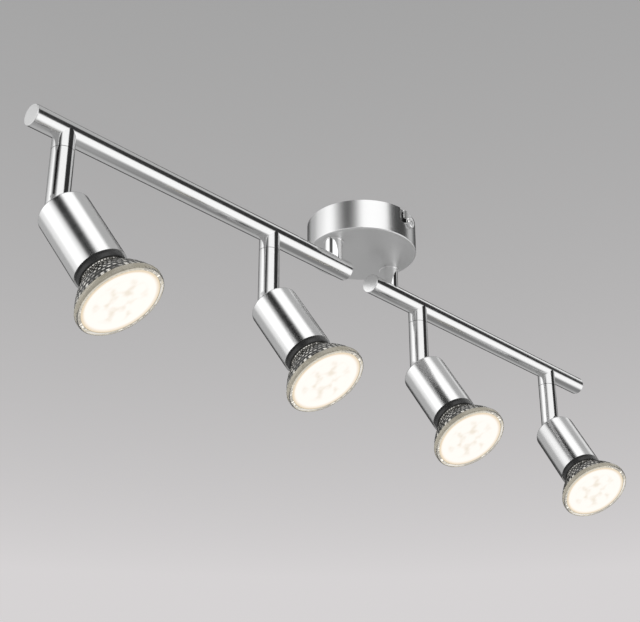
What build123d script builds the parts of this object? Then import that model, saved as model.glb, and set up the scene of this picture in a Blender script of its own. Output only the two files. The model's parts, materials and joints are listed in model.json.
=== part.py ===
from build123d import *
import os
from math import cos, pi, radians, sin, sqrt

# Ceiling spot bar: one canopy, two swinging arms and four tilting lamp heads.
# Millimetres and degrees. Origin on the canopy axis in the ceiling plane, +Z up,
# +X along the bars. The rest pose is the pose in the photograph.

# Canopy cup, its bayonet slots and its two side screws
CANOPY_D = 75.0
CANOPY_H = 22.0
CANOPY_WALL = 1.0
CANOPY_EDGE_R = 1.2
SCREW_AZIMUTH = -78.0
SCREW_DROP = 8.0
SCREW_SHANK_D = 3.6
SCREW_HEAD_D = 8.0
SCREW_HEAD_H = 2.2
BAYONET_TURN = 12.0
BAYONET_CLEAR = 0.4

# Mounting strap on the ceiling
STRAP_W = 16.0
STRAP_T = 1.5
STRAP_HOLE_D = 4.6
STRAP_HOLE_PCD = 50.0
CABLE_HOLE_D = 11.0
TAB_DROP = 13.0
TAB_GAP = 0.3

# Terminal block under the strap
BLOCK_L = 26.0
BLOCK_W = 12.0
BLOCK_H = 11.0
BLOCK_OFFSET = 13.5
POLE_PITCH = 8.0
POLE_BORE_D = 3.4
TERMINAL_SCREW_D = 3.4
TERMINAL_SCREW_L = 3.0
TERMINAL_DEEP = 0.6
TERMINAL_SLOT_W = 0.8
BLOCK_EDGE_R = 1.0

# Studs that carry the arms
STUD_INSET = 9.0
STUD_D = 12.5
STUD_LIP_D = 13.4
STUD_LIP_H = 1.2
NECK_D = 8.0
NUT_AF = 12.0
NUT_H = 4.0
WASHER_D = 13.4
WASHER_T = 0.8
NECK_STICKOUT = 0.8

# Bars and their end caps
BAR_D = 13.4
BAR_WALL = 1.0
BAR_L = 254.0
BAR_DROP = 18.6
CAP_T = 1.2
CAP_SPIGOT_L = 4.0
CAP_EDGE_R = 0.4

# How far the stud and the outer head sit from the ends of each bar
HEAD_SPACING = 159.5
LEFT_INNER_END = 12.3
LEFT_OUTER_END = 22.5
RIGHT_INNER_END = 20.3
RIGHT_OUTER_END = 43.5

# Collar, swivel spigot and post
POST_D = 13.2
COLLAR_T = 6.7
JOINT_GAP = 0.3
SPIGOT_D = 8.0
LAND_L = 5.0
FLARE_LIP = 0.5
FLARE_T = 1.0
CAVITY_CLEAR = 0.5
PIVOT_DROP = 46.0
CAVITY_FLOOR_T = 2.0
WIRE_BORE_D = 5.0
LEAD_D = 3.0
LEAD_BEND_R = 4.0
LEAD_STRAIGHT = 5.5

# Knuckle between post and sleeve
PIN_D = 3.0
LUG_T = 3.8
LUG_EYE_R = 5.0
LUG_W = 6.0
LUG_SHANK_D = 3.6
RIVET_HEAD_D = 7.2
RIVET_HEAD_T = 1.8
PIVOT_TO_SLEEVE = 7.6
KNUCKLE_CLEAR = 0.4

# Lamp sleeve, lampholder and black ring, along the head axis from the sleeve's top
SLEEVE_L = 45.6
SLEEVE_WALL = 1.1
SLEEVE_TOP_T = 1.6
SLEEVE_EDGE_R = 1.4
HOLDER_FLANGE_T = 4.0
HOLDER_L = 21.3
HOLDER_INSET = 2.0
RING_WALL = 1.15
RING_L = 10.0
RING_PROUD = 3.7
RING_CLEAR = 0.7
RING_EDGE_R = 0.5

# Lamp with two turn-and-lock pins
LAMP_RIM_D = 50.0
LAMP_RIM_H = 3.4
RIM_WALL = 2.7
LAMP_NECK_D = 24.6
LAMP_BASE_L = 15.2
BASE_CHAMFER = 1.0
BASE_SPIGOT_L = 4.0
GLASS_T = 1.4
NECK_SHOW = 0.5
FLARE_LENGTH = 16.2
FLARE_BELL = 0.45
FLARE_SLOPE = 40.0
FLARE_ROWS = 3
FACETS = 24
LENS_T = 1.4
BOARD_T = 1.6
BOARD_BACK = 7.0
LED_COUNT = 6
LED_R = 12.0
LED_SIZE = 3.6
LED_T = 0.8
PIN_PITCH = 10.0
LAMP_PIN_D = 2.9
LAMP_PIN_HEAD_D = 5.0
LAMP_PIN_HEAD_H = 3.0
PIN_SLACK = 0.4
PLATE_T = 3.5
TWIST = 30.0

# Rest pose of the heads
HEAD_TILT = 32.5
HEAD_YAWS = (-60.0, -76.0, -92.0, -104.0)

# Clearances
RUN = 0.05
FREE = 0.3
FIT = 0.05

# How far a cutting shape runs past the piece it cuts
PAST = 1.0

# Heights and places that follow from the sizes above
CANOPY_R = CANOPY_D / 2
STUD_X = CANOPY_R - STUD_INSET
FLOOR_Z = -CANOPY_H
FLOOR_TOP_Z = FLOOR_Z + CANOPY_WALL
BAR_R = BAR_D / 2
BAR_Z = FLOOR_Z - BAR_DROP
JOINT_Z = BAR_Z - BAR_R - COLLAR_T
PIVOT_Z = BAR_Z - PIVOT_DROP
POST_R = POST_D / 2
POST_TOP = JOINT_Z - JOINT_GAP - PIVOT_Z
FLARE_D = SPIGOT_D + 2 * FLARE_LIP
POST_CAVITY_D = FLARE_D + 2 * CAVITY_CLEAR
NECK_TOP_Z = FLOOR_TOP_Z + RUN + WASHER_T + NUT_H + NECK_STICKOUT
TOP_S = PIVOT_TO_SLEEVE
INNER_TOP_S = TOP_S + SLEEVE_TOP_T
MOUTH_S = TOP_S + SLEEVE_L
RING_FRONT_S = MOUTH_S + RING_PROUD
HOLDER_FRONT_S = INNER_TOP_S + HOLDER_L
BASE_BACK_S = HOLDER_FRONT_S + FREE
GLASS_BACK_S = BASE_BACK_S + LAMP_BASE_L
FLARE_START_S = RING_FRONT_S + NECK_SHOW
RIM_BACK_S = FLARE_START_S + FLARE_LENGTH
LAMP_FRONT_S = RIM_BACK_S + LAMP_RIM_H
LENS_D = LAMP_RIM_D - 2 * RIM_WALL
SLEEVE_INNER_R = LAMP_NECK_D / 2 + RING_CLEAR + RING_WALL + FIT
SLEEVE_R = SLEEVE_INNER_R + SLEEVE_WALL
HOLDER_R = SLEEVE_INNER_R - HOLDER_INSET
LAMP_PIN_L = FREE + PLATE_T + PIN_SLACK + LAMP_PIN_HEAD_H
SLOT_W = LUG_T + KNUCKLE_CLEAR
KNUCKLE_R = TOP_S - KNUCKLE_CLEAR

ARMS = {
    "left": (-1, LEFT_INNER_END, LEFT_OUTER_END),
    "right": (1, RIGHT_INNER_END, RIGHT_OUTER_END),
}


def rod(radius, low, high):
    # round bar along Z
    return Pos(0, 0, low) * Cylinder(radius, high - low, align=(Align.CENTER, Align.CENTER, Align.MIN))


def rod_x(radius, low, high, z=0.0):
    # round bar along X at height z
    return Pos(0, 0, z) * Rot(0, 90, 0) * rod(radius, low, high)


def rod_y(radius, half):
    # round bar along Y, centred
    return Rot(90, 0, 0) * rod(radius, -half, half)


def block(x, y, z):
    # box between three pairs of limits
    size = [high - low for low, high in (x, y, z)]
    return Pos(*[(low + high) / 2 for low, high in (x, y, z)]) * Box(*size)


def turned(*corners):
    # solid turned about Z from (radius, height) corners
    return revolve(Plane.XZ * make_face(Polyline(*corners, close=True)), Axis.Z)


def ring_sector(inner, outer, low, high, start, turn):
    # part of a ring about Z, from start through turn degrees
    outline = Polyline((inner, low), (outer, low), (outer, high), (inner, high), close=True)
    return Rot(0, 0, start) * revolve(Plane.XZ * make_face(outline), Axis.Z, revolution_arc=turn)


def polar(radius, angle):
    return radius * cos(radians(angle)), radius * sin(radians(angle))


def write(node, *shapes):
    solids = [solid for shape in shapes for solid in shape.solids()]
    whole = solids[0] if len(solids) == 1 else Compound(children=solids)
    export_step(whole, f"parts/{node}.step")


def tube_along(points, radius, bend):
    # round lead along straight runs with rounded corners
    path = FilletPolyline(*points, radius=bend)
    return sweep(Plane(path @ 0, z_dir=path % 0) * Circle(radius), path=path)


# Canopy

def bayonet_cut(azimuth):
    half = SCREW_SHANK_D / 2 + BAYONET_CLEAR
    reach = (CANOPY_R - 3 * CANOPY_WALL, CANOPY_R + CANOPY_WALL)
    entry = azimuth - BAYONET_TURN
    leg = block(reach, (-half, half), (-SCREW_DROP, CANOPY_WALL))
    foot = rod_x(half, *reach, z=-SCREW_DROP)
    track = ring_sector(*reach, -SCREW_DROP - half, -SCREW_DROP + half, entry, BAYONET_TURN)
    return Rot(0, 0, entry) * (leg + foot) + track + Rot(0, 0, azimuth) * foot


def canopy_cup():
    inner = CANOPY_R - CANOPY_WALL
    shell = rod(CANOPY_R, FLOOR_Z, 0)
    shell = fillet(shell.edges().group_by(Axis.Z)[0], CANOPY_EDGE_R)
    bowl = rod(inner, FLOOR_TOP_Z, CANOPY_WALL)
    bowl = fillet(bowl.edges().group_by(Axis.Z)[0], CANOPY_EDGE_R / 2)
    shell -= bowl
    for side in (-1, 1):
        shell -= Pos(side * STUD_X, 0, 0) * rod(NECK_D / 2 + RUN, FLOOR_Z - PAST, FLOOR_TOP_Z + PAST)
    for turn in (0, 180):
        shell -= bayonet_cut(SCREW_AZIMUTH + turn)
    return shell


def mounting_strap():
    reach = CANOPY_R - CANOPY_WALL - TAB_GAP
    half = STRAP_W / 2
    flat = block((-reach, reach), (-half, half), (-STRAP_T, 0))
    flat &= rod(reach, -STRAP_T, 0)
    strap = flat - rod(CABLE_HOLE_D / 2, -STRAP_T - PAST, PAST)
    for side in (-1, 1):
        strap -= Pos(side * STRAP_HOLE_PCD / 2, 0, 0) * rod(STRAP_HOLE_D / 2, -STRAP_T - PAST, PAST)
        foot = sqrt(reach**2 - half**2)
        ends = sorted((side * foot, side * (foot - STRAP_T)))
        tab = block(ends, (-half, half), (-TAB_DROP, -STRAP_T))
        tab = fillet(tab.edges().filter_by(Axis.X).group_by(Axis.Z)[0], half / 2)
        strap += tab - rod_x(SCREW_SHANK_D / 2, *sorted((0, side * CANOPY_D)), z=-SCREW_DROP)
    return Rot(0, 0, SCREW_AZIMUTH) * strap


def canopy_screw():
    # pan head bears on the cup wall, shank runs through the strap's tab
    seat = CANOPY_R + FIT
    tab_in = sqrt((CANOPY_R - CANOPY_WALL - TAB_GAP) ** 2 - (STRAP_W / 2) ** 2) - STRAP_T
    head = rod_x(SCREW_HEAD_D / 2, seat, seat + SCREW_HEAD_H, z=-SCREW_DROP)
    head = fillet(head.edges().group_by(Axis.X)[-1], SCREW_HEAD_H / 2)
    cross = SCREW_HEAD_D / 4
    arm = SCREW_HEAD_H / 4
    outer = (seat + SCREW_HEAD_H / 2, seat + SCREW_HEAD_H + PAST)
    level = (-SCREW_DROP - arm, -SCREW_DROP + arm)
    head -= block(outer, (-cross, cross), level)
    head -= block(outer, (-arm, arm), (-SCREW_DROP - cross, -SCREW_DROP + cross))
    return head + rod_x(SCREW_SHANK_D / 2, tab_in - STRAP_T, seat, z=-SCREW_DROP)


def pole_places():
    return [-POLE_PITCH, 0.0, POLE_PITCH]


def terminal_block():
    low, high = -STRAP_T - BLOCK_H, -STRAP_T
    near, far = BLOCK_OFFSET - BLOCK_W / 2, BLOCK_OFFSET + BLOCK_W / 2
    body = block((near, far), (-BLOCK_L / 2, BLOCK_L / 2), (low, high))
    body = fillet(body.edges().filter_by(Axis.X), BLOCK_EDGE_R)
    for place in pole_places():
        middle = (low + high) / 2
        body -= Pos(0, place, 0) * rod_x(POLE_BORE_D / 2, near - PAST, far + PAST, z=middle)
        body -= Pos(BLOCK_OFFSET, place, 0) * rod(TERMINAL_SCREW_D / 2, low - PAST, middle)
    return strap_side(body)


def terminal_screws():
    low = -STRAP_T - BLOCK_H
    screws = []
    for place in pole_places():
        body = rod(TERMINAL_SCREW_D / 2, low + TERMINAL_DEEP, low + TERMINAL_DEEP + TERMINAL_SCREW_L)
        half = TERMINAL_SLOT_W / 2
        slot = block((-TERMINAL_SCREW_D, TERMINAL_SCREW_D), (-half, half), (low, low + 2 * TERMINAL_DEEP))
        screws.append(strap_side(Pos(BLOCK_OFFSET, place, 0) * (body - slot)))
    return screws


def strap_side(shape):
    # turns a piece laid along +X to the far end of the strap
    return Rot(0, 0, SCREW_AZIMUTH + 180) * shape


def canopy_leads():
    # from the outer poles of the block to the tops of the studs, on their axes
    leads = []
    near = BLOCK_OFFSET - BLOCK_W / 2
    level = -STRAP_T - BLOCK_H / 2
    for side in (-1, 1):
        start = strap_side(Pos(near, -side * POLE_PITCH, level)).position
        out = strap_side(Pos(near - LEAD_STRAIGHT, -side * POLE_PITCH, level)).position
        axis = Vector(side * STUD_X, 0, level)
        foot = Vector(side * STUD_X, 0, NECK_TOP_Z)
        leads.append(tube_along([start, out, axis, foot], LEAD_D / 2, LEAD_BEND_R))
    return leads


# Arms, built with the stud on the Z axis and the heads along +X

def stud():
    shoulder = FLOOR_Z - RUN
    body = rod(STUD_D / 2, BAR_Z, shoulder) + rod(STUD_LIP_D / 2, shoulder - STUD_LIP_H, shoulder)
    body = body - rod_x(BAR_R, -STUD_D, STUD_D, z=BAR_Z)
    neck = rod(NECK_D / 2, shoulder, NECK_TOP_Z)
    return body + neck - rod(WIRE_BORE_D / 2, BAR_Z, NECK_TOP_Z + PAST)


def stud_washer():
    low = FLOOR_TOP_Z + RUN
    return rod(WASHER_D / 2, low, low + WASHER_T) - rod(NECK_D / 2, low - PAST, low + WASHER_T + PAST)


def stud_nut():
    low = FLOOR_TOP_Z + RUN + WASHER_T
    hexagon = extrude(RegularPolygon(NUT_AF / 2, 6, major_radius=False), NUT_H)
    crown = turned((0, 0), (NUT_AF / 2, 0), (NUT_AF / sqrt(3), NUT_H / 6), (NUT_AF / sqrt(3), NUT_H * 5 / 6),
                   (NUT_AF / 2, NUT_H), (0, NUT_H))
    return Pos(0, 0, low) * (hexagon & crown) - rod(NECK_D / 2, low - PAST, low + NUT_H + PAST)


def bar(inner_end, heads):
    low, high = CAP_T - inner_end, BAR_L - inner_end - CAP_T
    tube = rod_x(BAR_R, low, high, z=BAR_Z) - rod_x(BAR_R - BAR_WALL, low - PAST, high + PAST, z=BAR_Z)
    tube -= rod(WIRE_BORE_D / 2, BAR_Z, BAR_Z + BAR_D)
    for place in heads:
        tube -= Pos(place, 0, 0) * rod(WIRE_BORE_D / 2, BAR_Z - BAR_D, BAR_Z)
    return tube


def bar_caps(inner_end):
    plate = fillet(rod(BAR_R, 0, CAP_T).edges().group_by(Axis.Z)[-1], CAP_EDGE_R)
    cap = plate + rod(BAR_R - BAR_WALL - FIT, -CAP_SPIGOT_L, 0)
    outer = Pos(BAR_L - inner_end - CAP_T, 0, BAR_Z) * Rot(0, 90, 0) * cap
    inner = Pos(CAP_T - inner_end, 0, BAR_Z) * Rot(0, -90, 0) * cap
    return outer, inner


def collar():
    # fishmouth saddle under the bar with a spun-over spigot for the post
    body = rod(POST_R, JOINT_Z, BAR_Z) - rod_x(BAR_R, -BAR_D, BAR_D, z=BAR_Z)
    land_end = JOINT_Z - JOINT_GAP - LAND_L - RUN
    spigot = rod(SPIGOT_D / 2, land_end, JOINT_Z)
    flare = turned((0, land_end), (SPIGOT_D / 2, land_end), (FLARE_D / 2, land_end - FLARE_T / 2),
                   (FLARE_D / 2, land_end - FLARE_T), (0, land_end - FLARE_T))
    return body + spigot + flare - rod(WIRE_BORE_D / 2, land_end - FLARE_T - PAST, BAR_Z)


def arm_lead(heads):
    # one harness from the stud's top along the bar and down into both spigots
    low = JOINT_Z - JOINT_GAP - LAND_L - RUN - FLARE_T
    radius = LEAD_D / 2
    harness = tube_along([Vector(0, 0, NECK_TOP_Z), Vector(0, 0, BAR_Z), Vector(heads[1], 0, BAR_Z),
                          Vector(heads[1], 0, low)], radius, LEAD_BEND_R)
    return harness + Pos(heads[0], 0, 0) * rod(radius, low, BAR_Z)


# Heads, built with the pivot at the origin, the pin along Y and the head axis along -Z

def post():
    body = rod(POST_R, 0, POST_TOP)
    body += rod(POST_R, -KNUCKLE_R, 0) & rod_y(KNUCKLE_R, POST_D)
    floor = LUG_EYE_R + KNUCKLE_CLEAR + CAVITY_FLOOR_T
    body -= rod(SPIGOT_D / 2 + RUN, POST_TOP - LAND_L, POST_TOP + PAST)
    body -= rod(POST_CAVITY_D / 2, floor, POST_TOP - LAND_L)
    body -= rod(LEAD_D / 2, 0, floor)
    side = (-SLOT_W / 2, SLOT_W / 2)
    stop = LUG_W / 2 + FREE
    body -= rod_y(LUG_EYE_R + KNUCKLE_CLEAR, SLOT_W / 2)
    body -= block((-stop, POST_D), side, (-POST_D, stop)) + rod_x(SLOT_W / 2, -stop, POST_D, z=stop)
    return body - rod_y(PIN_D / 2, POST_D)


def pivot_pin():
    return rod_y(PIN_D / 2, POST_R) & rod(POST_R - FIT, -PIN_D, PIN_D)


def hinge_lug():
    neck = block((-LUG_W / 2, LUG_W / 2), (-LUG_T / 2, LUG_T / 2), (-TOP_S, 0))
    plate = rod_y(LUG_EYE_R, LUG_T / 2) + neck
    plate -= rod_y(PIN_D / 2 + RUN, LUG_T)
    head = rod(RIVET_HEAD_D / 2, -INNER_TOP_S - RIVET_HEAD_T, -INNER_TOP_S)
    head = fillet(head.edges().group_by(Axis.Z)[0], RIVET_HEAD_T / 3)
    return plate + rod(LUG_SHANK_D / 2, -INNER_TOP_S, -TOP_S) + head


def sleeve():
    shell = rod(SLEEVE_R, -MOUTH_S, -TOP_S)
    shell = fillet(shell.edges().group_by(Axis.Z)[-1], SLEEVE_EDGE_R)
    shell -= rod(SLEEVE_INNER_R, -MOUTH_S - PAST, -INNER_TOP_S)
    return shell - rod(LUG_SHANK_D / 2 + FIT, -INNER_TOP_S - PAST, 0)


def holder_ring():
    outer = SLEEVE_INNER_R - FIT
    ring = rod(outer, -RING_FRONT_S, RING_L - RING_FRONT_S)
    ring = fillet(ring.edges().group_by(Axis.Z)[0], RING_EDGE_R)
    return ring - rod(outer - RING_WALL, -RING_FRONT_S - PAST, RING_L - RING_FRONT_S + PAST)


def pin_track(half, low, high):
    # arc swept by one lamp pin from locked to released, on both sides
    track = ring_sector(PIN_PITCH / 2 - half, PIN_PITCH / 2 + half, low, high, -TWIST, TWIST)
    for angle in (-TWIST, 0):
        track += Pos(*polar(PIN_PITCH / 2, angle), 0) * rod(half, low, high)
    return track + Rot(0, 0, 180) * track


def lampholder():
    flange = rod(SLEEVE_INNER_R - FIT, -INNER_TOP_S - HOLDER_FLANGE_T, -INNER_TOP_S)
    body = flange + rod(HOLDER_R, -HOLDER_FRONT_S, -INNER_TOP_S)
    body -= rod(RIVET_HEAD_D / 2 + FREE, -INNER_TOP_S - RIVET_HEAD_T - FREE, 0)
    plate_back = -HOLDER_FRONT_S + PLATE_T
    tail = LAMP_PIN_L - PLATE_T + FREE
    body -= pin_track(LAMP_PIN_D / 2 + FREE, -HOLDER_FRONT_S - PAST, plate_back)
    body -= pin_track(LAMP_PIN_HEAD_D / 2 + FREE, plate_back, plate_back + tail)
    for turn in (-TWIST, 180 - TWIST):
        entry = rod(LAMP_PIN_HEAD_D / 2 + FREE, -HOLDER_FRONT_S - PAST, plate_back)
        body -= Pos(*polar(PIN_PITCH / 2, turn), 0) * entry
    return body


def bulb_base():
    body = rod(LAMP_NECK_D / 2, -GLASS_BACK_S, -BASE_BACK_S)
    body = chamfer(body.edges().group_by(Axis.Z)[-1], BASE_CHAMFER)
    body += rod(LAMP_NECK_D / 2 - GLASS_T - FIT, -GLASS_BACK_S - BASE_SPIGOT_L, -GLASS_BACK_S)
    pin = rod(LAMP_PIN_D / 2, -BASE_BACK_S, LAMP_PIN_L - BASE_BACK_S)
    pin += rod(LAMP_PIN_HEAD_D / 2, LAMP_PIN_L - LAMP_PIN_HEAD_H - BASE_BACK_S, LAMP_PIN_L - BASE_BACK_S)
    pins = [Pos(side * PIN_PITCH / 2, 0, 0) * pin for side in (-1, 1)]
    return [body, *pins]


def flare_radius(share):
    # outer radius of the glass between neck and rim, bowl shaped
    neck, rim = LAMP_NECK_D / 2, LAMP_RIM_D / 2 - GLASS_T / 3
    return neck + (rim - neck) * ((1 + FLARE_BELL) * share - FLARE_BELL * share**2)


def bulb_glass():
    # pressed glass: plain neck, faceted flare in rows, plain rim with a rebate for the lens
    steps = [row / FLARE_ROWS for row in range(FLARE_ROWS + 1)]
    rings = []
    for share in steps:
        face = RegularPolygon(flare_radius(share), FACETS)
        rings.append(Pos(0, 0, -FLARE_START_S - share * FLARE_LENGTH) * face)
    glass = loft(rings, ruled=True)
    rim = rod(LAMP_RIM_D / 2, -LAMP_FRONT_S, -RIM_BACK_S)
    rim = fillet(rim.edges().filter_by(GeomType.CIRCLE), LAMP_RIM_H / 4)
    glass += rim + rod(LAMP_NECK_D / 2, -FLARE_START_S, -GLASS_BACK_S)
    neck = LAMP_NECK_D / 2 - GLASS_T
    inside = [(0, PAST - GLASS_BACK_S), (neck, PAST - GLASS_BACK_S), (neck, -FLARE_START_S)]
    for share in steps[1:]:
        inside.append((flare_radius(share) - GLASS_T - wall_slope(), -FLARE_START_S - share * FLARE_LENGTH))
    seat = LAMP_FRONT_S - LENS_T
    inside += [(lens_ledge_r(), -seat), (0, -seat)]
    glass -= turned(*inside)
    return glass - rod(LENS_D / 2 + FIT, -LAMP_FRONT_S - PAST, -seat)


def wall_slope():
    # extra inset that keeps the wall full where the flare slants and at the flats of the facets
    return GLASS_T * (1 / cos(radians(FLARE_SLOPE)) - 1) + LAMP_RIM_D / 2 * (1 - cos(pi / FACETS))


def lens_ledge_r():
    return LENS_D / 2 - GLASS_T


def bulb_lens():
    # flat cover glass with a shallow raised border
    low = -LAMP_FRONT_S
    lens = rod(LENS_D / 2, low, low + LENS_T)
    border = LENS_D / 2 - GLASS_T
    return lens - rod(border, low - PAST, low + LENS_T / 4)


def led_board():
    # round board with a ring of light sources and one in the middle
    back = LAMP_FRONT_S - BOARD_BACK
    share = (back - FLARE_START_S) / FLARE_LENGTH
    edge = flare_radius(share) - GLASS_T - wall_slope() - FREE
    board = rod(edge, -back - BOARD_T, -back)
    half = LED_SIZE / 2
    chip = block((-half, half), (-half, half), (-back - BOARD_T - LED_T, -back - BOARD_T))
    board += chip
    for index in range(LED_COUNT):
        turn = index * 360 / LED_COUNT
        board += Pos(*polar(LED_R, turn), 0) * Rot(0, 0, turn) * chip
    return board


def build_base():
    write("mounting_strap", mounting_strap())
    write("canopy_cup", canopy_cup())
    screw = canopy_screw()
    write("canopy_screws", *[Rot(0, 0, SCREW_AZIMUTH + turn) * screw for turn in (0, 180)])
    write("terminal_block", terminal_block())
    write("terminal_screws", *terminal_screws())
    write("canopy_leads", *canopy_leads())


def build_arm(name, place, inner_end, heads):
    write(f"{name}_stud", place * stud())
    write(f"{name}_stud_washer", place * stud_washer())
    write(f"{name}_stud_nut", place * stud_nut())
    write(f"{name}_bar", place * bar(inner_end, heads))
    write(f"{name}_bar_caps", *[place * cap for cap in bar_caps(inner_end)])
    write(f"{name}_collars", *[place * Pos(head, 0, 0) * collar() for head in heads])
    write(f"{name}_lead", place * arm_lead(heads))


def build_head(number, x, yaw):
    upright = Pos(x, 0, PIVOT_Z) * Rot(0, 0, yaw)
    tilted = upright * Rot(0, -HEAD_TILT, 0)
    write(f"post_{number}", upright * post())
    write(f"pivot_pin_{number}", upright * pivot_pin())
    write(f"hinge_lug_{number}", tilted * hinge_lug())
    write(f"sleeve_{number}", tilted * sleeve())
    write(f"lampholder_{number}", tilted * lampholder())
    write(f"holder_ring_{number}", tilted * holder_ring())
    write(f"bulb_base_{number}", *[tilted * piece for piece in bulb_base()])
    write(f"bulb_glass_{number}", tilted * bulb_glass())
    write(f"led_board_{number}", tilted * led_board())
    write(f"bulb_lens_{number}", tilted * bulb_lens())


def main():
    os.makedirs("parts", exist_ok=True)
    build_base()
    places = []
    for name, (side, inner_end, outer_end) in ARMS.items():
        outer_head = BAR_L - inner_end - outer_end
        heads = (outer_head - HEAD_SPACING, outer_head)
        turn = 0 if side > 0 else 180
        build_arm(name, Pos(side * STUD_X, 0, 0) * Rot(0, 0, turn), inner_end, heads)
        places += [side * (STUD_X + head) for head in heads]
    for number, (x, yaw) in enumerate(zip(sorted(places), HEAD_YAWS), 1):
        build_head(number, x, yaw)
        print("head", number, "x", round(x, 2), "pivot z", round(PIVOT_Z, 2), "yaw", yaw)


main()
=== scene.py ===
import json
import math

import bmesh
import bpy
from mathutils import Matrix, Vector


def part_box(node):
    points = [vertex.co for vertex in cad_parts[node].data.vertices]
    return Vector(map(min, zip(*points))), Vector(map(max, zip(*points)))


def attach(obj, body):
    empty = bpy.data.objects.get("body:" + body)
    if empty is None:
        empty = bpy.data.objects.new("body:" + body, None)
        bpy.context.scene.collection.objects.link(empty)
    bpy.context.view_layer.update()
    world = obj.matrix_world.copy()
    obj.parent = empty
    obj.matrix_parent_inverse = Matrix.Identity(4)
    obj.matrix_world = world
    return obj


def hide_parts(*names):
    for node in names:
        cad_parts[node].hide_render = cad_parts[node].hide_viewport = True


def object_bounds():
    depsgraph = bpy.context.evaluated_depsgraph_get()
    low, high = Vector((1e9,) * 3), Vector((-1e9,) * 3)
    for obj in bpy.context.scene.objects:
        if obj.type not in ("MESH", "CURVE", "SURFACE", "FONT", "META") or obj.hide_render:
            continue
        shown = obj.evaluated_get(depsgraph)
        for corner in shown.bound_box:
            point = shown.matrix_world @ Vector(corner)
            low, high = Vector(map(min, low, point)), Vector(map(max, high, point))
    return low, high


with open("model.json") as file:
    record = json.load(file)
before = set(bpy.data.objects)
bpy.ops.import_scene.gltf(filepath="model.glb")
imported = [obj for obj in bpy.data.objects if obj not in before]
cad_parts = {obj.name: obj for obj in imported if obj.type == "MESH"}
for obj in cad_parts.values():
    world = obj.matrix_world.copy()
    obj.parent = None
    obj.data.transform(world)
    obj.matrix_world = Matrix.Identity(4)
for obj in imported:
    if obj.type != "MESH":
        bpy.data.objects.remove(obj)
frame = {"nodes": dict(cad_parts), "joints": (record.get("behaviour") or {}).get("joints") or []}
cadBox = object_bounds()
nodes = frame["nodes"]
joints = {joint["name"]: joint for joint in frame["joints"]}
scene = bpy.context.scene
scene.view_settings.view_transform = "Standard"
headCount = 4
print("frame loaded with", len(nodes), "nodes")

# Camera where the photograph was taken from: metres, and degrees from +X and from the horizon
cameraSet = dict(place=(-0.5814, -0.5133, -0.4409), heading=43.56, rise=25.89, lens=71.8, sensor=36.0)


def pointing(heading, rise):
    flat = math.cos(math.radians(rise))
    turn = math.radians(heading)
    return Vector((flat * math.cos(turn), flat * math.sin(turn), math.sin(math.radians(rise))))


def addCamera():
    data = bpy.data.cameras.new("photoCamera")
    data.lens = cameraSet["lens"]
    data.sensor_width = cameraSet["sensor"]
    eye = bpy.data.objects.new("photoCamera", data)
    scene.collection.objects.link(eye)
    eye.location = cameraSet["place"]
    eye.rotation_mode = "QUATERNION"
    eye.rotation_quaternion = pointing(cameraSet["heading"], cameraSet["rise"]).to_track_quat("-Z", "Y")
    scene.camera = eye


addCamera()
print("camera placed")


# Small helpers for node trees
def addNode(tree, kind, inputs=None, **settings):
    node = tree.nodes.new(kind)
    for name, value in settings.items():
        setattr(node, name, value)
    for name, value in (inputs or {}).items():
        node.inputs[name].default_value = value
    return node


def chain(tree, *steps):
    # each step is (node, output, node, input)
    for source, output, target, entry in steps:
        tree.links.new(source.outputs[output], target.inputs[entry])


def newGroup(name, inputs, outputs):
    group = bpy.data.node_groups.new(name, "ShaderNodeTree")
    for label, kind, value in inputs:
        socket = group.interface.new_socket(label, in_out="INPUT", socket_type=kind)
        if value is not None:
            socket.default_value = value
    for label, kind in outputs:
        group.interface.new_socket(label, in_out="OUTPUT", socket_type=kind)
    return group, group.nodes.new("NodeGroupInput"), group.nodes.new("NodeGroupOutput")


def math2(tree, operation, first, second):
    # a Math node on two links or numbers
    node = tree.nodes.new("ShaderNodeMath")
    node.operation = operation
    for slot, value in enumerate((first, second)):
        if isinstance(value, tuple):
            tree.links.new(value[0].outputs[value[1]], node.inputs[slot])
        else:
            node.inputs[slot].default_value = value
    return node


def axisFrame(point, along, side=(1, 0, 0)):
    # local Z runs along the axis
    zAxis = Vector(along).normalized()
    yAxis = zAxis.cross(Vector(side)).normalized()
    xAxis = yAxis.cross(zAxis)
    turned = Matrix((xAxis, yAxis, zAxis)).transposed().to_4x4()
    return Matrix.Translation(point) @ turned


# Where things are, read from the frame
def headFrame(number):
    # pivot at the origin, head axis along -Z
    twist = joints[f"lamp_{number}_twist"]
    pin = Vector(joints[f"head_{number}_tilt"]["axis"])
    outward = Vector(twist["axis"])
    return axisFrame(twist["pos_m"], -outward, outward.cross(pin))


def barFrame(name):
    low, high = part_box(name)
    return axisFrame((0, (low.y + high.y) / 2, (low.z + high.z) / 2), (1, 0, 0), (0, 0, 1))


headFrames = {number: headFrame(number) for number in range(1, headCount + 1)}
upright = Matrix.Identity(4)


# Shared surface effects, with the numbers that each one keeps for every finish
drawnLines = dict(slowTurn=0.01, stretch=0.03, detail=3.0, breakUp=0.6, patchScale=45.0, patchDetail=2.0,
                  patchShare=0.5, finishFrom=0.3, finishTo=0.7)


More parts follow.
